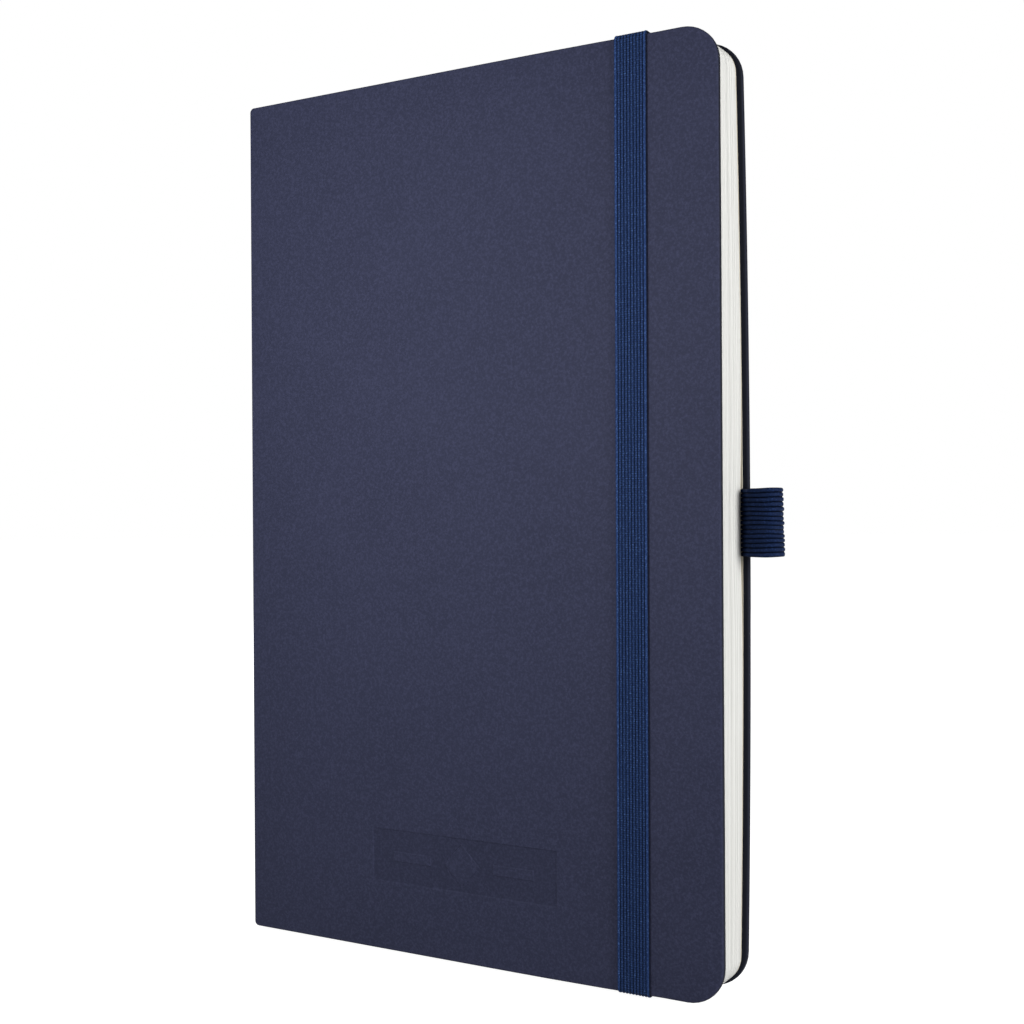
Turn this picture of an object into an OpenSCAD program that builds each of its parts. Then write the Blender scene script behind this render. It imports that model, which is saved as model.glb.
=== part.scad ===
// Pilot logbook: a closed hardback notebook with an elastic band and a pen loop.
// It stands on its tail edge. X runs from the spine to the fore edge, the front cover
// faces -Y, and the origin is at the bottom centre of the whole logbook.

/* [Covers] */
// Width of a cover, from the spine to the fore edge
cover_w = 128.5; // [110:0.5:160]
// Height of a cover
cover_h = 210; // [180:1:240]
// Thickness of the closed book over both covers
book_t = 15; // [13:0.5:22]
// Thickness of one finished cover
cover_t = 1.6; // [1.4:0.1:2.4]
// Radius of the two corners at the fore edge
corner_r = 8.5; // [4:0.5:12]
// Thickness of the covering material
skin_t = 0.5; // [0.4:0.1:0.7]

/* [Pages] */
// How far the covers stand past the pages at the fore edge
fore_overhang = 1.3; // [1:0.1:4]
// How far the covers stand past the pages at head and tail
head_overhang = 1.5; // [1.5:0.1:4]
// Thickness of an endpaper
paper_t = 0.15; // [0.1:0.01:0.2]
// Number of sewn sections in each half of the pages
sections_per_half = 4; // [4:1:4]

/* [Elastic band] */
// Width of the band
band_w = 8; // [6:0.5:12]
// Thickness of the band
band_t = 0.8; // [0.6:0.1:1]
// Distance from the fore edge to the nearer edge of the band
band_inset = 16.5; // [14:0.1:25]
// Distance from the cover's end to the slit that the band goes through
slit_inset = 10; // [8:0.5:14]

/* [Pen loop] */
// Height of the pen loop's webbing
loop_h = 15; // [10:0.5:22]
// How far the loop reaches across the fore edge
loop_len = 8; // [7.5:0.1:12]
// Outer depth of the loop
loop_depth = 6.4; // [6.2:0.1:7]
// Thickness of the loop's webbing
loop_wall = 0.8; // [0.6:0.1:0.9]
// Height of the middle of the loop
loop_z = 103.2; // [60:0.1:150]

/* [Hidden] */
$fn = 64;

navy = "#3c3f54";
band_navy = "#223052";
loop_navy = "#162039";
board_grey = "#8d8778";
page_white = "#e6e6e3";
cloth_white = "#d9d6cc";

cut = 0.1;                      // how far a cutting solid stands past a face
fit = 0.1;                      // clearance of a piece in its recess
hinge_r = cover_t / 2;          // the rolled edge of a cover at the spine
loop_gap = 0.6;                 // from the cover's edge to the loop's own wall
reach = loop_gap + loop_len;    // how far the loop stands past the covers

spine_x = -(cover_w + reach) / 2;
fore_x = spine_x + cover_w;
face_y = book_t / 2;            // outer face of the back cover
inner_y = face_y - cover_t;     // inner face of the back cover
hinge_x = spine_x + hinge_r;
hinge_y = face_y - hinge_r;

// The pages, set off from the covers by the endpapers
page_h = cover_h - 2 * head_overhang;
page_fore_x = fore_x - fore_overhang;
fold_inset = 2.1;               // from the spine's outer face to the folds of the pages
page_spine_x = spine_x + fold_inset;
page_corner_r = corner_r - fore_overhang;
half_gap = 0.05;
cover_gap = 0.15;
half_t = inner_y - paper_t - cover_gap - half_gap;
section_t = (half_t - paper_t) / sections_per_half;
fold_r = section_t / 2;
endpaper_inset = 1;             // how far an endpaper stops short of the folds

// Sewing, and the cloth glued over it
thread_d = 0.24;
thread_clear = 0.02;            // between a thread and the folds, and on its other side
stitch_gap = 8;                 // left free at each sewing station
lining_t = 0.3;
lining_end = 6;                 // how far the cloth stops short of the pages' ends
lining_mid = 0.1;               // and of the middle plane
lining_side = 0.4;              // and of the outer leaf
station_gap = 34;
station_count = 5;

// The spine strip lies between the two rolled edges
strip_t = 1;
strip_clear = 0.2;
strip_inset = 0.4;              // how far the strip stops short of the skin's edges
strip_half = hinge_y - hinge_r - strip_clear;

// The band
band_x0 = fore_x - band_inset - band_w;
tail_t = 0.6;
tail_len = 15;
slit_h = band_t + 2 * fit;
notch_d = band_t + fit / 2;

// The pen loop
loop_x0 = fore_x + loop_gap;
loop_y = face_y + band_t - loop_depth / 2;
loop_tail_len = 18;
loop_tail_t = 0.9;
loop_pivot_r = 0.4;
loop_pivot_x = fore_x + fit + loop_pivot_r;
loop_pivot_in = 0.5;            // from the cover's inner face to the pivot
loop_pivot_y = inner_y + loop_pivot_in;
neck_sink = 0.2;                // how far the neck goes on past the gap, into the wall

// ---- shared shapes ----

// A flat leaf standing in X and Z, its fore-edge corners rounded, from y0 and thick t
module leaf(x0, x1, z0, z1, r, y0, t) {
    translate([0, y0 + t, 0]) rotate([90, 0, 0]) linear_extrude(t) {
        translate([x0, z0]) square([x1 - x0 - r, z1 - z0]);
        translate([x1 - r - cut, z0 + r]) square([r + cut, z1 - z0 - 2 * r]);
        for (z = [z0 + r, z1 - r]) translate([x1 - r, z]) circle(r);
    }
}

// A box from its low corner to its high corner
module block(low, high) {
    translate(low) cube(high - low);
}

// The whole of one cover at the back, with its rolled edge at the spine
module cover_blank() {
    leaf(hinge_x, fore_x, 0, cover_h, corner_r, inner_y, cover_t);
    translate([hinge_x, hinge_y, 0]) cylinder(r = hinge_r, h = cover_h);
}

// The space inside the covering material that the board fills
module board_space(grow) {
    in = skin_t - grow;
    leaf(hinge_x + hinge_r, fore_x - in, in, cover_h - in, corner_r - in,
         inner_y - grow, cover_t - skin_t + 2 * grow - fit / 2);
}

// The seats that the stretched band presses in the head and tail edges
module band_seats() {
    for (z = [-cut, cover_h - notch_d])
        block([band_x0 - fit, inner_y - cut, z],
              [band_x0 + band_w + fit, face_y + cut, z + notch_d + cut]);
}

// The slits that the band's ends go through, and the recesses for its glued tails
module band_slits() {
    for (side = [0, 1]) {
        z = side ? cover_h - slit_inset : slit_inset;
        block([band_x0 - fit, inner_y - cut, z - slit_h / 2],
              [band_x0 + band_w + fit, face_y + cut, z + slit_h / 2]);
        low = side ? z - tail_len - fit : z - slit_h / 2;
        block([band_x0 - fit, inner_y - cut, low],
              [band_x0 + band_w + fit, inner_y + tail_t + fit, low + tail_len + fit + slit_h / 2]);
    }
}

// The recess for the two plies of the pen loop's tail
module loop_recess() {
    block([fore_x - loop_tail_len - fit, inner_y - cut, loop_z - loop_h / 2 - fit],
          [fore_x + cut, inner_y + loop_tail_t + fit, loop_z + loop_h / 2 + fit]);
}

// The front cover is the back cover turned over in the middle plane
module to_front() {
    mirror([0, 1, 0]) children();
}

// One folded and sewn section, numbered from the middle plane outwards
module section(n) {
    y0 = half_gap + n * section_t;
    leaf(page_spine_x + fold_r, page_fore_x, head_overhang, head_overhang + page_h,
         page_corner_r, y0, section_t);
    translate([page_spine_x + fold_r, y0 + fold_r, head_overhang])
        cylinder(r = fold_r, h = page_h);
}

// The runs of thread along the folds of one half
module sewing() {
    first = cover_h / 2 - (station_count - 1) * station_gap / 2;
    for (n = [0 : sections_per_half - 1], s = [0 : station_count - 2])
        translate([page_spine_x - thread_d / 2 - thread_clear, half_gap + (n + 0.5) * section_t,
                   first + s * station_gap + stitch_gap / 2])
            cylinder(d = thread_d, h = station_gap - stitch_gap, $fn = 16);
}

// The cloth over the sewn folds of one half
module lining() {
    x1 = page_spine_x - thread_d - 2 * thread_clear;
    block([x1 - lining_t, half_gap + lining_mid, head_overhang + lining_end],
          [x1, half_gap + half_t - lining_side, cover_h - head_overhang - lining_end]);
}

module endpaper(y0) {
    leaf(page_spine_x + endpaper_inset, page_fore_x, head_overhang, head_overhang + page_h,
         page_corner_r, y0, paper_t);
}

// ---- the back cover and what is fixed to it ----

module back_skin() {
    color(navy) difference() {
        cover_blank();
        board_space(fit / 2);
        band_seats();
        band_slits();
        loop_recess();
    }
}

module back_board() {
    color(board_grey) difference() {
        board_space(-fit / 2);
        band_seats();
        band_slits();
        loop_recess();
    }
}

module back_pastedown() {
    color(page_white) endpaper(inner_y - paper_t - fit / 2);
}

module back_flyleaf() {
    color(page_white) endpaper(half_gap + half_t - paper_t);
}

module section_05() { color(page_white) section(0); }
module section_06() { color(page_white) section(1); }
module section_07() { color(page_white) section(2); }
module section_08() { color(page_white) section(3); }

module thread_rear() { color(cloth_white) sewing(); }
module lining_rear() { color(cloth_white) lining(); }

module pen_loop_tail() {
    color(loop_navy)
        block([fore_x - loop_tail_len, inner_y + fit / 2, loop_z - loop_h / 2],
              [fore_x, inner_y + loop_tail_t, loop_z + loop_h / 2]);
}

module band_tail(side) {
    z = side ? cover_h - slit_inset : slit_inset;
    low = side ? z - tail_len : z - band_t / 2;
    block([band_x0, inner_y + fit / 2, low],
          [band_x0 + band_w, inner_y + tail_t, low + tail_len + band_t / 2]);
    block([band_x0, inner_y + fit / 2, z - band_t / 2],
          [band_x0 + band_w, face_y, z + band_t / 2]);
}

module band_tail_top() { color(band_navy) band_tail(1); }
module band_tail_bottom() { color(band_navy) band_tail(0); }

// ---- the spine ----

module spine_skin() {
    color(navy)
        block([spine_x, -strip_half, 0], [spine_x + skin_t, strip_half, cover_h]);
}

module spine_strip() {
    color(board_grey)
        block([spine_x + skin_t, -strip_half + strip_inset, skin_t],
              [spine_x + strip_t, strip_half - strip_inset, cover_h - skin_t]);
}

// ---- the front cover ----

module front_skin() {
    color(navy) to_front() difference() {
        cover_blank();
        board_space(fit / 2);
        band_seats();
    }
}

module front_board() {
    color(board_grey) to_front() difference() {
        board_space(-fit / 2);
        band_seats();
    }
}

module front_pastedown() {
    color(page_white) to_front() endpaper(inner_y - paper_t - fit / 2);
}

// ---- the front half of the pages ----

module front_flyleaf() {
    color(page_white) to_front() endpaper(half_gap + half_t - paper_t);
}

module section_01() { color(page_white) to_front() section(3); }
module section_02() { color(page_white) to_front() section(2); }
module section_03() { color(page_white) to_front() section(1); }
module section_04() { color(page_white) to_front() section(0); }

module thread_front() { color(cloth_white) to_front() sewing(); }
module lining_front() { color(cloth_white) to_front() lining(); }

// ---- the elastic band and the pen loop ----

module elastic_band() {
    color(band_navy) {
        block([band_x0, -face_y - band_t, 0], [band_x0 + band_w, -face_y, cover_h]);
        for (side = [0, 1]) {
            z = side ? cover_h - band_t : 0;
            block([band_x0, -face_y - band_t, z],
                  [band_x0 + band_w, face_y + band_t, z + band_t]);
            low = side ? cover_h - slit_inset - band_t / 2 : 0;
            block([band_x0, face_y, low],
                  [band_x0 + band_w, face_y + band_t, low + slit_inset + band_t / 2]);
        }
    }
}

// The outline of the loop seen from above, inset by a wall
module loop_outline(in) {
    r = loop_depth / 2;
    for (x = [r, loop_len - r]) translate([x, 0]) circle(r - in);
    translate([r, -r + in]) square([loop_len - 2 * r, 2 * (r - in)]);
}

module pen_loop() {
    color(loop_navy) translate([0, 0, loop_z - loop_h / 2]) {
        linear_extrude(loop_h) translate([loop_x0, loop_y]) difference() {
            loop_outline(0);
            loop_outline(loop_wall);
        }
        translate([loop_pivot_x, loop_pivot_y, 0]) {
            cylinder(r = loop_pivot_r, h = loop_h);
            block([0, -loop_pivot_r, 0], [loop_gap + neck_sink, loop_pivot_r, loop_h]);
        }
    }
}

back_skin();
back_board();
back_pastedown();
back_flyleaf();
section_05();
section_06();
section_07();
section_08();
thread_rear();
lining_rear();
pen_loop_tail();
band_tail_top();
band_tail_bottom();
spine_skin();
spine_strip();
front_skin();
front_board();
front_pastedown();
front_flyleaf();
section_01();
section_02();
section_03();
section_04();
thread_front();
lining_front();
elastic_band();
pen_loop();
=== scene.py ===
import math
import random

import bmesh
import bpy
from mathutils import Euler, Matrix, Vector


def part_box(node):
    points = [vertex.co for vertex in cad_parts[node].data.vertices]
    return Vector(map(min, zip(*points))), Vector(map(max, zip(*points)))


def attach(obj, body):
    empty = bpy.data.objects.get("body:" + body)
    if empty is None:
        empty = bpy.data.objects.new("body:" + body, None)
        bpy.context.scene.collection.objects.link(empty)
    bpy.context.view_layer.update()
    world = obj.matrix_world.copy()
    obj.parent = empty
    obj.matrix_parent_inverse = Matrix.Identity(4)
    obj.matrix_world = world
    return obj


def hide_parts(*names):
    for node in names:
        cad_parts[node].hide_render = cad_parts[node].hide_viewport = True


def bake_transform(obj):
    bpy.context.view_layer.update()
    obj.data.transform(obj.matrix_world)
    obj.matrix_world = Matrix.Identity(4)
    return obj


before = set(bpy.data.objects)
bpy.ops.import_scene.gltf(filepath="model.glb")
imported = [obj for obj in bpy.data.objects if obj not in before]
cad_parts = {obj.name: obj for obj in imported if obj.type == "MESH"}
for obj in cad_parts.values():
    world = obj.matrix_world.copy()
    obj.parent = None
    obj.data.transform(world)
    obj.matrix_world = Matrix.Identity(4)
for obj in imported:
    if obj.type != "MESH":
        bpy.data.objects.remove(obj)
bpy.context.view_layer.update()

# ---------------------------------------------------------------- camera, lights and floor
# The logbook stands on its tail edge on a plain white sweep, seen from the front right at
# about half its height. A soft light stands close in front of its upper half, one at its right
# and one behind it, and the room is white.
MM = 0.001
front_low, front_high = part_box("front_skin")
back_low, back_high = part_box("back_skin")
spine_x = front_low.x
fore_x = front_high.x
head_z = front_high.z
middle_x = (spine_x + fore_x) / 2
middle_z = head_z / 2

view_turn = math.radians(30.22)
view_roll = math.radians(-0.35)
view_distance = 323.8 * MM
aim = Vector((middle_x + 12.7 * MM, front_low.y + 0.8 * MM, middle_z + 0.85 * MM))
camera_data = bpy.data.cameras.new("camera")
camera_data.sensor_width = 36
camera_data.lens = 49.47
camera_data.clip_start = 0.01
camera = bpy.data.objects.new("camera", camera_data)
bpy.context.collection.objects.link(camera)
toward = Vector((-math.sin(view_turn), math.cos(view_turn), 0))
camera.location = aim - toward * view_distance
camera.rotation_euler = (
    Euler((math.pi / 2, 0, view_turn)).to_matrix() @ Matrix.Rotation(view_roll, 3, "Z")
).to_euler()
bpy.context.scene.camera = camera
bpy.context.scene.view_settings.view_transform = "Standard"


def soft_light(name, place, look_at, size, watts):
    data = bpy.data.lights.new(name, "AREA")
    data.shape = "DISK"
    data.size = size
    data.energy = watts
    light = bpy.data.objects.new(name, data)
    light.location = place
    light.rotation_euler = (Vector(look_at) - Vector(place)).to_track_quat("-Z", "Y").to_euler()
    light.visible_camera = False
    bpy.context.collection.objects.link(light)


soft_light("key", place=(-0.028, -0.2, 0.162), look_at=(-0.02, 0, 0.155), size=0.12, watts=0.33)
soft_light("side", place=(1.0, -0.15, 0.28), look_at=(0, 0, 0.1), size=0.8, watts=10.8)
soft_light("back", place=(-0.45, 0.9, 0.5), look_at=(0, 0, 0.1), size=0.8, watts=9)

room = bpy.data.worlds.new("room")
room.use_nodes = True
backdrop = room.node_tree.nodes["Background"]
backdrop.inputs["Color"].default_value = (1, 1, 1, 1)
# The backdrop is lit to plain white, and sends only a part of that light on to the object.
seen = room.node_tree.nodes.new("ShaderNodeLightPath")
level = room.node_tree.nodes.new("ShaderNodeMapRange")
level.inputs["To Min"].default_value = 0.2
level.inputs["To Max"].default_value = 1.0
room.node_tree.links.new(seen.outputs["Is Camera Ray"], level.inputs["Value"])
room.node_tree.links.new(level.outputs["Result"], backdrop.inputs["Strength"])
bpy.context.scene.world = room


def linear(hex_colour):
    """An sRGB hex colour as linear RGBA."""
    parts = [int(hex_colour[i:i + 2], 16) / 255 for i in (1, 3, 5)]
    return [c / 12.92 if c <= 0.04045 else ((c + 0.055) / 1.055) ** 2.4 for c in parts] + [1]


def add(tree, kind, links=None, **settings):
    """A node with its settings and links. A setting named like a socket sets that socket."""
    made = tree.nodes.new("ShaderNode" + kind)
    for key, value in settings.items():
        if hasattr(made, key):
            setattr(made, key, value)
        else:
            made.inputs[key.replace("_", " ")].default_value = value
    for key, source in (links or {}).items():
        tree.links.new(source, made.inputs[key])
    return made


def finish_named(name):
    """An empty material, with its tree."""
    made = bpy.data.materials.new(name)
    made.use_nodes = True
    made.node_tree.nodes.clear()
    return made, made.node_tree


def two_tones(tree, source, dark, pale, low=0.0, high=1.0):
    """A colour between two, by where a value stands from low to high."""
    made = add(tree, "ValToRGB", {"Fac": source})
    for element, place, colour in zip(made.color_ramp.elements, (low, high), (dark, pale)):
        element.position = place
        element.color = linear(colour)
    return made


def close(tree, shader):
    """Ends the material in its shader."""
    output = tree.nodes.new("ShaderNodeOutputMaterial")
    tree.links.new(shader.outputs[0], output.inputs["Surface"])


# White paper sweep: matt, a little brighter than the light on it alone makes it, with no gloss.
sweep_paper, tree = finish_named("white_paper_sweep")
grain = add(tree, "TexNoise", {"Vector": add(tree, "TexCoord").outputs["Object"]}, Scale=40.0)
tone = add(tree, "Mix", {"Factor": grain.outputs["Fac"]}, data_type="RGBA")
tone.inputs["A"].default_value = linear("#8e8e8d")
tone.inputs["B"].default_value = linear("#949493")
paper_shader = add(tree, "BsdfPrincipled", {"Base Color": tone.outputs["Result"]}, Roughness=0.9)
paper_shader.inputs["Emission Color"].default_value = (1, 1, 1, 1)
paper_shader.inputs["Emission Strength"].default_value = 0.95
close(tree, paper_shader)

sweep_r = 6
sweep_drop = 0.8 * MM
bm = bmesh.new()
bmesh.ops.create_circle(bm, cap_ends=True, segments=96, radius=sweep_r)
sweep_mesh = bpy.data.meshes.new("floor")
bm.to_mesh(sweep_mesh)
bm.free()
floor = bpy.data.objects.new("floor", sweep_mesh)
sweep_mesh.transform(Matrix.Translation((0, 0, -sweep_drop)))
sweep_mesh.materials.append(sweep_paper)
bpy.context.collection.objects.link(floor)
# The sweep sends no light on to the logbook, or it would light the tail more than the head.
floor.visible_diffuse = False

# ---------------------------------------------------------------- how the closed book lies
# The loop's tails and the sewn folds keep the pages open in the middle of the fore edge, while
# the band pinches head and tail, so everything behind the front cover bows out a little there.
bow_depth = 3.0 * MM
bow_in = 0.15 * MM
inside_y = back_low.y
cover_t = back_high.y - back_low.y


def bow(point, whole=False):
    """How far a point of the closed book is pushed back from its flat place."""
    height = (point.z - middle_z) / middle_z
    out = min(max((point.x - spine_x) / (fore_x - spine_x), 0), 1)
    depth = min(max((point.y + inside_y) / (2 * inside_y), 0), 1)
    if whole:
        depth = 1
    return depth * out * (bow_depth * (1 - height * height) - bow_in)


def settle(bm, whole=False):
    """Pushes every point of a piece back by the bow."""
    for v in bm.verts:
        v.co.y += bow(v.co, whole)


def piece(name, bm, material, body, smooth=40):
    """Makes the object from a finished bmesh and lets it ride on its body, if it has only one."""
    mesh = bpy.data.meshes.new(name)
    bm.to_mesh(mesh)
    bm.free()
    mesh.shade_smooth()
    mesh.set_sharp_from_angle(angle=math.radians(smooth))
    made = bpy.data.objects.new(name, mesh)
    bpy.context.collection.objects.link(made)
    mesh.materials.append(material)
    if body:
        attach(made, body)
    return made


def new_verts(result):
    """The points among what an operator made."""
    return [v for v in result["geom"] if isinstance(v, bmesh.types.BMVert)]


def leaf(x0, x1, z0, z1, y0, y1, fore_r, spine_r=0.0, arc=10):
    """A flat leaf in X and Z with rounded corners, from y0 to y1."""
    bm = bmesh.new()
    bmesh.ops.create_grid(bm, x_segments=1, y_segments=1, size=0.5)
    bmesh.ops.transform(bm, matrix=Matrix.Rotation(math.pi / 2, 4, "X"), verts=bm.verts)
    bmesh.ops.scale(bm, vec=(x1 - x0, 1, z1 - z0), verts=bm.verts)
    bmesh.ops.translate(bm, vec=((x0 + x1) / 2, y0, (z0 + z1) / 2), verts=bm.verts)
    middle = (x0 + x1) / 2
    for side, radius in ((1, fore_r), (-1, spine_r)):
        corners = [v for v in bm.verts if (v.co.x - middle) * side > (x1 - x0) * 0.499]
        if radius:
            bmesh.ops.bevel(bm, geom=corners, offset=radius, segments=arc, profile=0.5,
                            affect="VERTICES", material=-1)
    grown = bmesh.ops.extrude_face_region(bm, geom=bm.faces[:])
    bmesh.ops.translate(bm, vec=(0, y1 - y0, 0), verts=new_verts(grown))
    bmesh.ops.recalc_face_normals(bm, faces=bm.faces)
    return bm


def cut_across(bm, axis, places, faces=None):
    """Cuts the mesh, or only some faces of it, at places along X or Z."""
    normal = (1, 0, 0) if axis == "x" else (0, 0, 1)
    for place in places:
        point = (place, 0, 0) if axis == "x" else (0, 0, place)
        chosen = faces(bm) if faces else bm.faces[:]
        edges = {e for f in chosen for e in f.edges}
        verts = {v for f in chosen for v in f.verts}
        bmesh.ops.bisect_plane(bm, geom=chosen + list(edges) + list(verts),
                               plane_co=point, plane_no=normal, dist=1e-7)


def steps(low, high, size):
    """Even places between low and high, about size apart."""
    count = max(2, round((high - low) / size))
    return [low + (high - low) * i / count for i in range(1, count)]


def cut_cells(bm, tall, wide):
    """Cuts a flat piece into cells of about this size, so that it can bend."""
    cut_across(bm, "z", steps(0, head_z, tall))
    cut_across(bm, "x", steps(spine_x, fore_x, wide))


short_cell = 7 * MM
tall_cell = 14 * MM
leaf_cell = 26 * MM


# ---------------------------------------------------------------- covers
# Each cover is thin grey board wrapped in navy soft-touch polyurethane, a coated fabric with a
# velvety matt face and a very fine grain. The edges are turned over the board, so they are round.
# Soft-touch polyurethane, calendered: no clear highlight, a pale bloom, odd pale dust specks.
soft_touch, tree = finish_named("soft_touch_polyurethane_grained")
place = add(tree, "TexCoord").outputs["Object"]
cloud = add(tree, "TexNoise", {"Vector": place}, Scale=1 / (22 * MM), Detail=3.0, Roughness=0.6)
base = add(tree, "Mix", {"Factor": cloud.outputs["Fac"]}, data_type="RGBA")
base.inputs["A"].default_value = linear("#2f3246")
base.inputs["B"].default_value = linear("#35384e")
# Grain about 0.5 mm wide, drawn coarser than the real 0.1 mm so that it shows.
grain = add(tree, "TexNoise", {"Vector": place}, Scale=1 / (0.55 * MM), Detail=2.0, Roughness=0.7)
pale = add(tree, "MapRange", {"Value": grain.outputs["Fac"]},
           From_Min=0.42, From_Max=0.75, To_Max=0.6)
mottle = add(tree, "Mix", {"A": base.outputs["Result"], "Factor": pale.outputs["Result"]},
             data_type="RGBA")
mottle.inputs["B"].default_value = linear("#474a66")
# Dust specks up to 0.4 mm across, kept in about a third of the cells.
dust = add(tree, "TexVoronoi", {"Vector": place}, Scale=1 / (4.2 * MM), Randomness=1.0)
near = add(tree, "MapRange", {"Value": dust.outputs["Distance"]},
           From_Min=0.022, From_Max=0.045, To_Min=0.55, To_Max=0.0)
rare = add(tree, "Math", {0: dust.outputs["Color"]}, operation="GREATER_THAN")
rare.inputs[1].default_value = 0.62
speck = add(tree, "Math", {0: near.outputs["Result"], 1: rare.outputs[0]}, operation="MULTIPLY")
dusted = add(tree, "Mix", {"A": mottle.outputs["Result"], "Factor": speck.outputs[0]},
             data_type="RGBA")
dusted.inputs["B"].default_value = linear("#a0a6c6")
# The die flattens the nap in the blind panel and darkens it. The covers' edges and inner faces get a
# painted shade, darker as the skin turns from the face.
die = add(tree, "Attribute", attribute_name="pressed")
flat = add(tree, "Math", {0: die.outputs["Fac"]}, operation="MULTIPLY")
flat.inputs[1].default_value = 0.17
marked = add(tree, "Mix", {"A": dusted.outputs["Result"], "Factor": flat.outputs[0]}, data_type="RGBA")
marked.inputs["B"].default_value = linear("#1f2130")
turned = add(tree, "Attribute", attribute_name="painted_edge_shade")
edge_shade_ramp = add(tree, "MapRange", {"Value": turned.outputs["Fac"]},
             From_Min=0.15, From_Max=0.8, To_Max=0.97)
edged = add(tree, "Mix", {"A": marked.outputs["Result"], "Factor": edge_shade_ramp.outputs["Result"]},
            data_type="RGBA")
edged.inputs["B"].default_value = linear("#1b1d26")
rough = add(tree, "MapRange", {"Value": grain.outputs["Fac"]},
            To_Min=0.56, To_Max=0.7)
relief = add(tree, "Bump", {"Height": grain.outputs["Fac"]}, Strength=0.35, Distance=0.05 * MM)
shader = add(tree, "BsdfPrincipled",
             {"Base Color": edged.outputs["Result"], "Roughness": rough.outputs["Result"],
              "Normal": relief.outputs["Normal"]}, IOR=1.45)
shader.inputs["Specular IOR Level"].default_value = 0.08
close(tree, shader)

corner_r = 8.5 * MM
edge_r = 0.55 * MM
spine_corner_r = 1.2 * MM
head_pinch = 0.3 * MM
tail_pinch = 0.4 * MM
band_low, band_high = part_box("elastic_band")


def ramp(value, low, high):
    """Eases from 0 at low to 1 at high."""
    part = min(max((value - low) / (high - low), 0), 1)
    return part * part * (3 - 2 * part)


def pinch_ends(bm):
    """The band's pull draws the head and tail edges in, most of all beyond the band."""
    for v in bm.verts:
        height = (v.co.z - middle_z) / middle_z
        most = head_pinch if height > 0 else tail_pinch
        before = ramp(v.co.x, band_low.x - 25 * MM, band_low.x)
        after = ramp(v.co.x, band_low.x, band_high.x)
        v.co.z -= most * (0.4 * before + 0.6 * after) * height ** 9


def finished_cover(low, high):
    """A wrapped cover between two corners, with its turned edges rounded."""
    bm = leaf(low.x, high.x, low.z, high.z, low.y, high.y, corner_r, spine_corner_r)
    rim = [e for e in bm.edges if abs(e.verts[0].co.y - e.verts[1].co.y) < 1e-7]
    bmesh.ops.bevel(bm, geom=rim, offset=edge_r, segments=6, profile=0.5,
                    affect="EDGES", material=-1)
    return bm


def paint_edge_shade(bm, inward):
    """Painted shade on the cover: darker as the skin turns from the cover's face, and full on its inner
    face. None beside the spine.
    """
    layer = bm.verts.layers.float.new("painted_edge_shade")
    bm.normal_update()
    for v in bm.verts:
        turned = 1 if v.normal.y * inward > 0.5 else 1 - abs(v.normal.y)
        v[layer] = turned * ramp(v.co.x, spine_x + edge_r, spine_x + 4 * edge_r)


bm = finished_cover(back_low, back_high)
cut_cells(bm, short_cell, 10 * MM)
pinch_ends(bm)
settle(bm)
paint_edge_shade(bm, -1)
back_cover = piece("back_cover_wrapped", bm, soft_touch, "back_cover")
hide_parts("back_skin")

# The front cover carries a blind panel low down: a plain rectangle pressed in by a hot die,
# with a lozenge between two bars left standing in it.
panel_w = 51 * MM
panel_h = 13 * MM
panel_z = 22.9 * MM
panel_sink = 0.16 * MM
panel_x = middle_x - 1.2 * MM
panel_slope = 0.35 * MM
bar_h = 2.6 * MM
bar_w = 11 * MM
bar_off = 14 * MM
lozenge = 3.6 * MM
mark_slope = 0.25 * MM
mark_rise = panel_sink * 0.8
panel_edges = [panel_x - panel_w / 2, panel_x + panel_w / 2]
panel_ends = [panel_z - panel_h / 2, panel_z + panel_h / 2]


def inside(face, x0, x1, z0, z1):
    """Whether a face of the front lies between these places."""
    c = face.calc_center_median()
    return face.normal.y < -0.9 and x0 < c.x < x1 and z0 < c.z < z1


def inside_panel(point):
    return panel_edges[0] < point.x < panel_edges[1] and panel_ends[0] < point.z < panel_ends[1]


def panel_faces(bm):
    return [f for f in bm.faces if inside(f, *panel_edges, *panel_ends)]


bm = finished_cover(front_low, front_high)
cut_across(bm, "z", panel_ends)
cut_across(bm, "x", panel_edges)
sunk = panel_faces(bm)
bmesh.ops.inset_region(bm, faces=sunk, thickness=panel_slope, depth=-panel_sink,
                       use_even_offset=True)
for side in (-1, 1):
    left = panel_x + side * bar_off - bar_w / 2
    cut_across(bm, "x", [left, left + bar_w], panel_faces)
cut_across(bm, "z", [panel_z - bar_h / 2, panel_z + bar_h / 2], panel_faces)
for turn in range(4):
    angle = math.radians(45 + 90 * turn)
    away = Vector((math.cos(angle), 0, math.sin(angle)))
    chosen = [f for f in panel_faces(bm)
              if abs(f.calc_center_median().x - panel_x) < bar_off - bar_w / 2]
    edges = list({e for f in chosen for e in f.edges})
    verts = list({v for f in chosen for v in f.verts})
    bmesh.ops.bisect_plane(bm, geom=chosen + edges + verts, plane_no=away, dist=1e-7,
                           plane_co=Vector((panel_x, 0, panel_z)) + away * lozenge)
for side in (-1, 0, 1):
    if side:
        centre = panel_x + side * bar_off
        raised = [f for f in panel_faces(bm)
                  if inside(f, centre - bar_w / 2, centre + bar_w / 2,
                            panel_z - bar_h / 2, panel_z + bar_h / 2)]
    else:
        raised = [f for f in panel_faces(bm)
                  if abs(f.calc_center_median().x - panel_x)
                  + abs(f.calc_center_median().z - panel_z) < lozenge * math.sqrt(2) - 1e-6
                  and f.calc_center_median().y > front_low.y + panel_sink * 0.5]
    if raised:
        bmesh.ops.inset_region(bm, faces=raised, thickness=mark_slope, depth=mark_rise,
                               use_even_offset=True)
cut_cells(bm, tall_cell, 15 * MM)
pressed = bm.verts.layers.float.new("pressed")
for v in bm.verts:
    sunk_by = v.co.y - front_low.y
    if sunk_by < 2 * panel_sink and inside_panel(v.co):
        v[pressed] = min(sunk_by / panel_sink, 1)
pinch_ends(bm)
paint_edge_shade(bm, 1)
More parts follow.
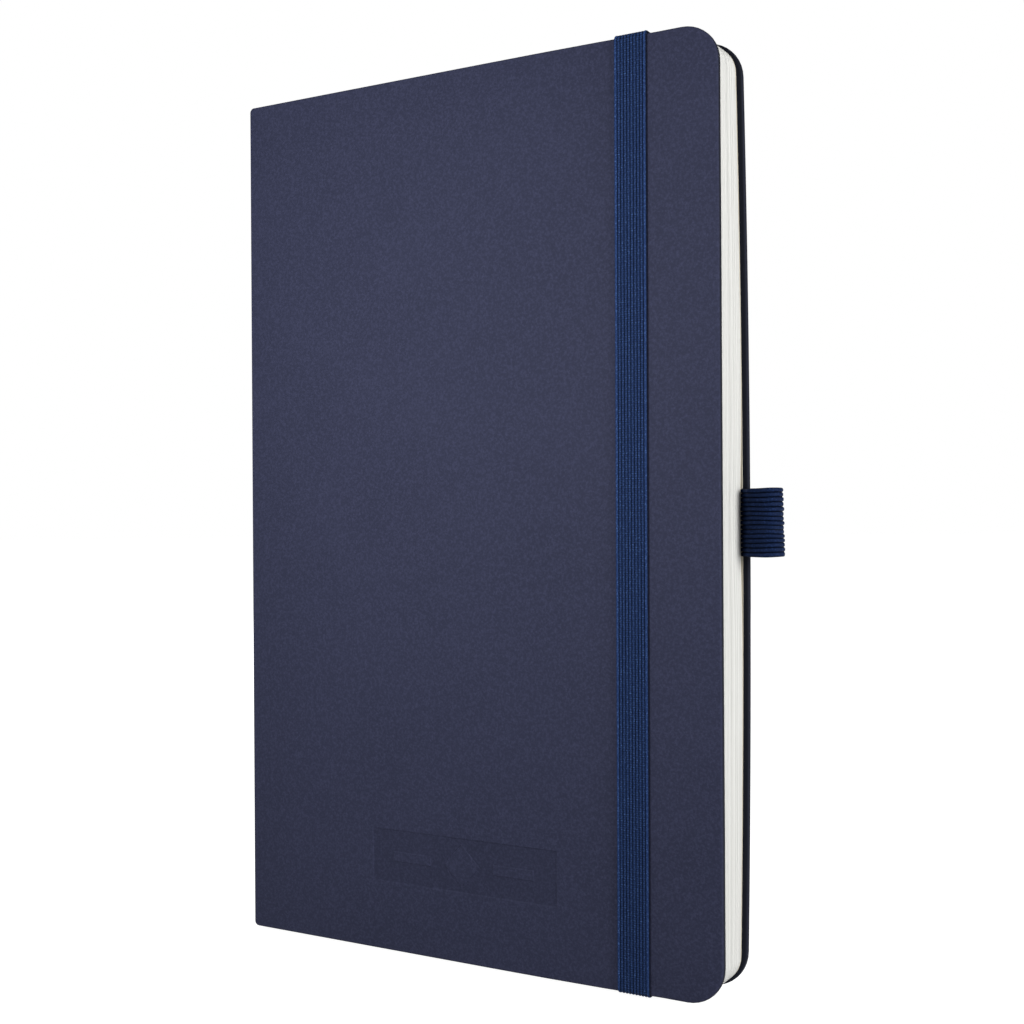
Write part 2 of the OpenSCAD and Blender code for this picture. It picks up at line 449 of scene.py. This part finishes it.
front_cover = piece("front_cover_wrapped", bm, soft_touch, "front_cover", smooth=20)
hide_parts("front_skin")

# ---------------------------------------------------------------- spine
# The spine is a narrow strip of board under the same soft-touch skin, and the skin runs on
# over both hinges, so the book's back is smooth with a rounded edge at each side.
spine_low, spine_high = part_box("spine_skin")
strip_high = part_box("spine_strip")[1]
hinge_r = cover_t / 2
skin_t = 0.3 * MM
spine_edge_r = 0.4 * MM
hinge_x = spine_x + hinge_r
hinge_y = back_high.y - hinge_r

bm = bmesh.new()
bmesh.ops.create_cube(bm, size=1)
bmesh.ops.scale(bm, vec=(strip_high.x - spine_x, spine_high.y - spine_low.y, head_z),
                verts=bm.verts)
bmesh.ops.translate(bm, vec=((strip_high.x + spine_x) / 2, 0, middle_z), verts=bm.verts)
bmesh.ops.bevel(bm, geom=bm.edges[:], offset=spine_edge_r, segments=3, profile=0.5,
                affect="EDGES", material=-1)
cut_across(bm, "z", steps(0, head_z, tall_cell))
spine = piece("spine_wrapped", bm, soft_touch, "spine")
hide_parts("spine_skin", "spine_strip")


def hinge_skin(name, side):
    """The skin over one hinge: a quarter-round sheet.

    It lies just under the covers' faces, laps on to the spine, and stops at the rounded corners.
    """
    bm = bmesh.new()
    outer = hinge_r - 0.02 * MM
    lap = 2.2 * MM
    foot = spine_corner_r
    ends = [bm.verts.new((hinge_x, side * (hinge_y + r), foot)) for r in (outer - skin_t, outer)]
    section = [bm.edges.new(ends)] + ends
    spun = bmesh.ops.spin(bm, geom=section, cent=(hinge_x, side * hinge_y, 0), axis=(0, 0, 1),
                          angle=side * math.radians(90), steps=8)
    last = [e for e in spun["geom_last"] if isinstance(e, bmesh.types.BMEdge)]
    run = bmesh.ops.extrude_edge_only(bm, edges=last)
    bmesh.ops.translate(bm, vec=(0, -side * lap, 0), verts=new_verts(run))
    grown = bmesh.ops.extrude_face_region(bm, geom=bm.faces[:], use_keep_orig=True)
    bmesh.ops.translate(bm, vec=(0, 0, head_z - 2 * foot), verts=new_verts(grown))
    bmesh.ops.recalc_face_normals(bm, faces=bm.faces)
    made = piece(name, bm, soft_touch, None)
    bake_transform(made)


hinge_skin("rear_hinge_skin", 1)
hinge_skin("front_hinge_skin", -1)

# ---------------------------------------------------------------- pages
# The pages are folded sections of smooth off-white paper, sewn through their folds and trimmed
# on three sides. The trimmed edges are flat, but the leaves never lie quite level.
# Uncoated paper, trimmed by a guillotine: matt, faintly striped along the leaves.
trimmed_paper, tree = finish_named("uncoated_paper_trimmed")
place = add(tree, "TexCoord").outputs["Object"]
thin = add(tree, "Mapping", {"Vector": place})
thin.inputs["Scale"].default_value = (60, 1 / (0.32 * MM), 60)
leaves = add(tree, "TexNoise", {"Vector": thin.outputs[0]}, Scale=1.0, Detail=2.0)
paper = two_tones(tree, leaves.outputs["Fac"], "#dfdfdb", "#e9e9e5", low=0.3, high=0.7)
relief = add(tree, "Bump", {"Height": leaves.outputs["Fac"]}, Strength=0.1, Distance=0.05 * MM)
shader = add(tree, "BsdfPrincipled",
             {"Base Color": paper.outputs["Color"], "Normal": relief.outputs["Normal"]}, Roughness=0.85)
close(tree, shader)

# Log page, offset printed: pale blue-grey rules for rows and columns, with no lettering.
log_page, tree = finish_named("uncoated_paper_ruled")
rear_low, rear_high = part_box("section_05")
place = add(tree, "SeparateXYZ", {0: add(tree, "TexCoord").outputs["Object"]})


def rules(tree, along, pitch, line_w):
    """1 on lines of a given width, one at each pitch."""
    turns = add(tree, "Math", {0: along}, operation="MULTIPLY")
    turns.inputs[1].default_value = 1 / pitch
    part = add(tree, "Math", {0: turns.outputs[0]}, operation="FRACT")
    line = add(tree, "Math", {0: part.outputs[0]}, operation="LESS_THAN")
    line.inputs[1].default_value = line_w / pitch
    return line.outputs[0]


def within(tree, value, low, high):
    """1 between two places."""
    inside = add(tree, "Math", {0: value}, operation="COMPARE")
    inside.inputs[1].default_value = (low + high) / 2
    inside.inputs[2].default_value = (high - low) / 2
    return inside.outputs[0]


row_h = 7 * MM
column_w = 15.5 * MM
rule_w = 0.25 * MM
rows = rules(tree, place.outputs["Z"], row_h, rule_w)
columns = rules(tree, place.outputs["X"], column_w, rule_w)
table = add(tree, "Math", {0: rows, 1: columns}, operation="MAXIMUM")
across = within(tree, place.outputs["X"], rear_low.x + 12 * MM, rear_high.x - 8 * MM)
down = within(tree, place.outputs["Z"], rear_low.z + 13 * MM, rear_high.z - 19 * MM)
margins = add(tree, "Math", {0: across, 1: down}, operation="MULTIPLY")
ruled = add(tree, "Math", {0: table.outputs[0], 1: margins.outputs[0]}, operation="MULTIPLY")
sheet_tone = add(tree, "Mix", {"Factor": ruled.outputs[0]}, data_type="RGBA")
sheet_tone.inputs["A"].default_value = linear("#e9e9e4")
sheet_tone.inputs["B"].default_value = linear("#93a1b8")
shader = add(tree, "BsdfPrincipled", {"Base Color": sheet_tone.outputs["Result"]}, Roughness=0.85)
close(tree, shader)

outer_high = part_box("section_08")[1]
# The pages are rounded by a smaller die than the covers.
page_corner_r = corner_r - (fore_x - rear_high.x) - 1.0 * MM
leaf_group = 0.23 * MM
loose = 0.03 * MM
loop_low, loop_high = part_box("pen_loop")
loop_z = (loop_low.z + loop_high.z) / 2
loop_push = 1.2 * MM


def push_leaves(bm):
    """The pen loop's tails under the endpaper hold the rear leaves off the cover beside it."""
    for v in bm.verts:
        near_loop = math.exp(-((v.co.z - loop_z) / (17 * MM)) ** 2)
        out = ramp(v.co.x, fore_x - 40 * MM, fore_x)
        depth = ramp(v.co.y, -inside_y, inside_y)
        v.co.y -= loop_push * near_loop * out * depth


def page_half(name, first, last, seed, body, nodes):
    """Half of the pages, as a stack of thin leaf groups that stand a hair proud of each other."""
    draw = random.Random(seed)
    count = round((last - first) / leaf_group)
    innermost = 0 if first > 0 else count - 1
    toward_middle = -1 if first > 0 else 1
    whole = bmesh.new()
    for n in range(count):
        y0 = first + (last - first) * n / count
        y1 = first + (last - first) * (n + 1) / count - 0.015 * MM
        out = draw.uniform(-loose, loose)
        up = draw.uniform(-loose, loose)
        down = draw.uniform(-loose, loose)
        bm = leaf(rear_low.x + 0.3 * MM, rear_high.x + out, rear_low.z + down,
                  rear_high.z + up, y0, y1, page_corner_r)
        cut_cells(bm, short_cell, leaf_cell)
        settle(bm)
        push_leaves(bm)
        bm.normal_update()
        for face in bm.faces:
            if n == innermost and face.normal.y * toward_middle > 0.9:
                face.material_index = 1
        mesh = bpy.data.meshes.new("leaves")
        bm.to_mesh(mesh)
        bm.free()
        whole.from_mesh(mesh)
        bpy.data.meshes.remove(mesh)
    made = piece(name, whole, trimmed_paper, body, smooth=20)
    made.data.materials.append(log_page)
    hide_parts(*nodes)


page_half("rear_pages", rear_low.y, outer_high.y, 5, "back_cover",
          ["section_05", "section_06", "section_07", "section_08"])
page_half("front_pages", -outer_high.y, -rear_low.y, 9, "front_leaves",
          ["section_01", "section_02", "section_03", "section_04"])

# ---------------------------------------------------------------- endpapers and boards
# A pastedown is glued over the inside of each cover and its turned-in edges, and a flyleaf
# lies loose on the pages. Both are heavier cream paper; the board inside is grey.
# Heavy uncoated paper, smooth: cream with a faint cloudy formation.
end_paper, tree = finish_named("endpaper_smooth")
place = add(tree, "TexCoord").outputs["Object"]
cloud = add(tree, "TexNoise", {"Vector": place}, Scale=1 / (2.5 * MM), Detail=4.0)
paper = two_tones(tree, cloud.outputs["Fac"], "#ddd5c2", "#e7e0cf")
fibre = add(tree, "TexNoise", {"Vector": place}, Scale=1 / (0.3 * MM), Detail=3.0)
relief = add(tree, "Bump", {"Height": fibre.outputs["Fac"]}, Strength=0.2, Distance=0.02 * MM)
shader = add(tree, "BsdfPrincipled",
             {"Base Color": paper.outputs["Color"], "Normal": relief.outputs["Normal"]}, Roughness=0.8)
close(tree, shader)

for node, body in (("back_pastedown", "back_cover"), ("back_flyleaf", "back_cover"),
                   ("front_pastedown", "front_cover"), ("front_flyleaf", "front_leaves")):
    low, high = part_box(node)
    bm = leaf(low.x, high.x, low.z, high.z, low.y, high.y, page_corner_r)
    cut_cells(bm, short_cell, leaf_cell)
    settle(bm)
    if "flyleaf" in node:
        push_leaves(bm)
    sheet = piece(node + "_paper", bm, end_paper, body)
    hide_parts(node)

# Grey board, pressed from waste paper: dull, with darker fibres through it.
grey_board, tree = finish_named("grey_board_pressed")
place = add(tree, "TexCoord").outputs["Object"]
fibre = add(tree, "TexNoise", {"Vector": place}, Scale=1 / (1.2 * MM), Detail=5.0)
pulp = two_tones(tree, fibre.outputs["Fac"], "#6f6a5e", "#99937f")
shader = add(tree, "BsdfPrincipled", {"Base Color": pulp.outputs["Color"]}, Roughness=0.9)
close(tree, shader)


def refinish(node, material):
    """Gives a plain piece of the frame its material."""
    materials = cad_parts[node].data.materials
    materials.clear()
    materials.append(material)


refinish("front_board", grey_board)
# The bowed board is kept a little inside the skin that wraps it.
board_r = corner_r - 0.6 * MM
board_gap = 0.2 * MM
low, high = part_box("back_board")
bm = leaf(low.x, high.x, low.z, high.z, low.y + board_gap, high.y - board_gap, board_r)
cut_cells(bm, tall_cell, leaf_cell)
settle(bm)
board = piece("back_board_bowed", bm, grey_board, "back_cover")
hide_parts("back_board")

# ---------------------------------------------------------------- sewing and spine lining
# White cotton thread runs along the folds, and a strip of open cotton cloth is glued over it.
# Cotton cloth, plain weave: a pale matt net of threads.
cotton, tree = finish_named("cotton_plain_weave")
place = add(tree, "TexCoord").outputs["Object"]
fine = 1 / (6 * MM)
warp = add(tree, "TexWave", {"Vector": place}, bands_direction="Z", Scale=fine, Distortion=0.5)
weft = add(tree, "TexWave", {"Vector": place}, bands_direction="Y", Scale=fine, Distortion=0.5)
weave = add(tree, "Math", {0: warp.outputs["Fac"], 1: weft.outputs["Fac"]}, operation="MULTIPLY")
thread_tone = two_tones(tree, weave.outputs[0], "#b9b4a4", "#e8e5da")
relief = add(tree, "Bump", {"Height": weave.outputs[0]}, Strength=0.5, Distance=0.05 * MM)
shader = add(tree, "BsdfPrincipled",
             {"Base Color": thread_tone.outputs["Color"], "Normal": relief.outputs["Normal"]},
             Roughness=0.9)
close(tree, shader)
for node in ("thread_rear", "thread_front", "lining_rear", "lining_front"):
    refinish(node, cotton)

# ---------------------------------------------------------------- elastic band
# The band is 8 mm ribbed elastic: ten covered rubber strands side by side, the two outer ones
# smooth and the inner ones caught down by the weft. It passes round the head and tail edges
# and through two slits in the back cover, where its ends are glued under the endpaper.


def webbing_finish(name, gap, rib, glint, pitch):
    """Woven elastic: blue strands caught down by stitches at each pitch, with painted shade darkening
    the gaps between them and a painted glint on their crests.
    """
    made, tree = finish_named(name)
    height = add(tree, "Attribute", attribute_name="rib_height")
    # Darker toward the gaps between the ribs: painted shade.
    rib_tone_and_gap_shade = two_tones(tree, height.outputs["Fac"], gap, rib, low=0.15, high=0.95)
    place = add(tree, "TexCoord").outputs["Object"]
    fuzz = add(tree, "TexNoise", {"Vector": place}, Scale=1 / pitch, Detail=3.0, Roughness=0.7)
    # A painted glint in patches on the crests.
    bright = add(tree, "MapRange", {"Value": fuzz.outputs["Fac"]}, From_Min=0.52, From_Max=0.78)
    lit = add(tree, "Math", {0: bright.outputs["Result"], 1: height.outputs["Fac"]},
              operation="MULTIPLY")
    mixed = add(tree, "Mix", {"A": rib_tone_and_gap_shade.outputs["Color"], "Factor": lit.outputs[0]},
                data_type="RGBA")
    mixed.inputs["B"].default_value = linear(glint)
    relief = add(tree, "Bump", {"Height": fuzz.outputs["Fac"]}, Strength=0.4, Distance=0.05 * MM)
    shader = add(tree, "BsdfPrincipled",
                 {"Base Color": mixed.outputs["Result"], "Normal": relief.outputs["Normal"]},
                 Roughness=0.6)
    shader.inputs["Specular IOR Level"].default_value = 0.05
    close(tree, shader)
    return made


def rounded_route(corners, radii, step):
    """Points and outward normals along a line through 2D corners, each rounded by its radius."""
    turn_parts = 8
    corners = [Vector(c) for c in corners]
    dense = [corners[0]]
    for before, corner, after, radius in zip(corners, corners[1:], corners[2:], radii):
        come = (before - corner).normalized()
        go = (after - corner).normalized()
        half = come.angle(go) / 2
        reach = radius / math.tan(half)
        centre = corner + (come + go).normalized() * (radius / math.sin(half))
        first = corner + come * reach - centre
        last = corner + go * reach - centre
        turn = first.angle_signed(last)
        for i in range(turn_parts + 1):
            dense.append(centre + Matrix.Rotation(-turn * i / turn_parts, 2) @ first)
    dense.append(corners[-1])
    lengths = [0.0]
    for a, b in zip(dense, dense[1:]):
        lengths.append(lengths[-1] + (b - a).length)
    count = round(lengths[-1] / step)
    points = []
    k = 0
    for i in range(count + 1):
        at = lengths[-1] * i / count
        while k < len(dense) - 2 and lengths[k + 1] < at:
            k += 1
        span = max(lengths[k + 1] - lengths[k], 1e-9)
        points.append(dense[k].lerp(dense[k + 1], (at - lengths[k]) / span))
    normals = []
    for i in range(count + 1):
        along = points[min(i + 1, count)] - points[max(i - 1, 0)]
        normals.append(Vector((along.y, -along.x)).normalized())
    return points, normals


def ribbed_strap(route, place, width, ribs, rib_h, body_t, smooth_ribs, rib_sway):
    """A strap of ribs swept along a route. place turns (2D point, distance across) into 3D.

    Every second row of a rib that isn't smooth is caught down by the weft.
    """
    points, normals = route
    per_rib = 6
    caught = 0.55
    bm = bmesh.new()
    bmesh.ops.create_grid(bm, x_segments=ribs * per_rib, y_segments=len(points) - 1, size=0.5)
    height = bm.verts.layers.float.new("rib_height")
    for v in bm.verts:
        across = v.co.x + 0.5
        row = round((v.co.y + 0.5) * (len(points) - 1))
        rib = min(int(across * ribs + 1e-6), ribs - 1)
        inside_rib = 2 * (across * ribs - rib) - 1
        rise = math.sqrt(max(0, 1 - inside_rib ** 2))
        if rib not in smooth_ribs and row % 2:
            rise *= caught
        v[height] = rise
        lift = body_t / 2 + rib_h * rise * rib_sway[rib]
        v.co = place(points[row] + normals[row] * lift, (across - 0.5) * width)
    return bm


def face_outward(bm, face, way):
    """Turns the whole strap over if this face of it doesn't look this way."""
    if face.normal.dot(Vector(way)) < 0:
        bmesh.ops.reverse_faces(bm, faces=bm.faces)


# The first colour is painted shade in the gaps, the last a painted glint on the crests.
band_blue = webbing_finish("elastic_band_woven_blue", "#0b111a", "#243966", "#5a7dbd", 0.3 * MM)
band_w = band_high.x - band_low.x
band_x = (band_low.x + band_high.x) / 2
band_t = front_low.y - band_low.y
strap_y = -front_low.y + band_t / 2 - 0.08 * MM
strap_end = head_z + 0.05 * MM
strap_foot = 0.35 * MM
top_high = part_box("band_tail_top")[1]
slit_top = top_high.z - band_t / 2
slit_bottom = head_z - slit_top
slit_depth = inside_y + 0.3 * MM
slit_r = 0.35 * MM
rear_turn_r = 0.8 * MM
front_turn_r = 0.9 * MM
stitch_pitch = 0.5 * MM
band_strands = 10
outer_strands = (0, band_strands - 1)
even = [1.0] * band_strands


def lean(z):
    """The band lies a hair nearer to the spine at the tail than at the head."""
    return (0.15 - 0.5 * (1 - z / head_z)) * MM


band_route = rounded_route(
    [(slit_depth, slit_top), (strap_y, slit_top), (strap_y, strap_end),
     (-strap_y, strap_end), (-strap_y, strap_foot), (strap_y, strap_foot),
     (strap_y, slit_bottom), (slit_depth, slit_bottom)],
    [slit_r, rear_turn_r, front_turn_r, front_turn_r, rear_turn_r, slit_r], stitch_pitch / 2)
bm = ribbed_strap(
    band_route, lambda p, across: Vector((band_x + lean(p.y) + across, p.x, p.y)),
    width=band_w - 0.3 * MM, ribs=band_strands, rib_h=0.26 * MM, body_t=0.3 * MM,
    smooth_ribs=outer_strands, rib_sway=even)
settle(bm)
bmesh.ops.recalc_face_normals(bm, faces=bm.faces)
front_middle = Vector((band_x, -strap_y, middle_z))
centre_face = min(bm.faces, key=lambda f: (f.calc_center_median() - front_middle).length)
face_outward(bm, centre_face, (0, -1, 0))
band = piece("elastic_band_ribbed", bm, band_blue, None, smooth=80)
thick = band.modifiers.new("thickness", "SOLIDIFY")
thick.thickness = 0.55 * MM
thick.offset = -1
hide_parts("elastic_band")
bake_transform(band)


def glued_tail(name, route, place, width, ribs, material, node):
    """A strap's end, glued flat in its recess in the back cover."""
    bm = ribbed_strap(route, place, width, ribs, rib_h=0.1 * MM, body_t=0.2 * MM,
                      smooth_ribs=range(ribs), rib_sway=[1.0] * ribs)
    settle(bm, whole=True)
    bmesh.ops.recalc_face_normals(bm, faces=bm.faces)
    bmesh.ops.solidify(bm, geom=bm.faces[:], thickness=0.3 * MM)
    bmesh.ops.recalc_face_normals(bm, faces=bm.faces)
    made = piece(name, bm, material, "back_cover", smooth=80)
    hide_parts(node)


tail_y = inside_y + 0.4 * MM
tail_step = 2 * MM
for node in ("band_tail_top", "band_tail_bottom"):
    low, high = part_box(node)
    run = rounded_route([(tail_y, low.z), (tail_y, high.z)], [], tail_step)
    glued_tail(node + "_glued", run, lambda p, across: Vector((band_x + across, p.x, p.y)),
               band_w, band_strands, band_blue, node)

# ---------------------------------------------------------------- pen loop
# The loop is 15 mm elastic webbing with fifteen cords side by side, folded round and glued by
# both ends under the back endpaper. It stands out past the fore edge, a little flattened.
# The first colour is painted shade in the gaps, the last a painted glint on the crests.
loop_blue = webbing_finish("pen_loop_woven_navy", "#020409", "#132140", "#2a4072", 0.35 * MM)
wall = 0.8 * MM
x_out = loop_high.x - wall / 2 - 0.45 * MM
y_near = loop_low.y + wall / 2
y_far = loop_high.y - wall / 2
tuck_x = fore_x - 3 * MM
loop_route = rounded_route(
    [(tuck_x, inside_y + 0.3 * MM), (fore_x - 1.0 * MM, inside_y - 0.15 * MM),
     (fore_x + 1.6 * MM, y_near), (x_out, y_near), (x_out, y_far),
     (fore_x + 2.4 * MM, y_far), (fore_x + 0.5 * MM, inside_y + 0.9 * MM),
     (tuck_x, inside_y + 0.9 * MM)],
    [1.2 * MM, 1.6 * MM, 2.4 * MM, 2.4 * MM, 1.4 * MM, 0.9 * MM], 0.35 * MM)
loop_cords = 15
draw = random.Random(3)
sway = [draw.uniform(0.55, 1.35) for _ in range(loop_cords)]
slant = 0.03
wander = 0.14 * MM


def loop_place(p, across):
    """The cords run a little unevenly, and the loop reaches out further at its lower edge."""
    out = ramp(p.x, fore_x, x_out)
    drift = wander * math.sin(p.x / (2.3 * MM) + across / (1.9 * MM)) * out
    return Vector((p.x - slant * across * out, p.y, loop_z + across + drift))


loop_w = loop_high.z - loop_low.z
bm = ribbed_strap(loop_route, loop_place, width=loop_w, ribs=loop_cords, rib_h=0.3 * MM,
                  body_t=0.3 * MM, smooth_ribs=range(loop_cords), rib_sway=sway)
settle(bm, whole=True)
bmesh.ops.recalc_face_normals(bm, faces=bm.faces)
outmost = max(bm.faces, key=lambda f: f.calc_center_median().x)
face_outward(bm, outmost, (1, 0, 0))
loop = piece("pen_loop_ribbed", bm, loop_blue, None, smooth=80)
thick = loop.modifiers.new("thickness", "SOLIDIFY")
thick.thickness = 0.45 * MM
thick.offset = -1
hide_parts("pen_loop")
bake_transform(loop)
low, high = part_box("pen_loop_tail")
run = rounded_route([(low.x, tail_y), (high.x - 1.5 * MM, tail_y)], [], tail_step)
glued_tail("pen_loop_tail_glued", run, lambda p, across: Vector((p.x, p.y, loop_z + across)),
           loop_w, loop_cords, loop_blue, "pen_loop_tail")
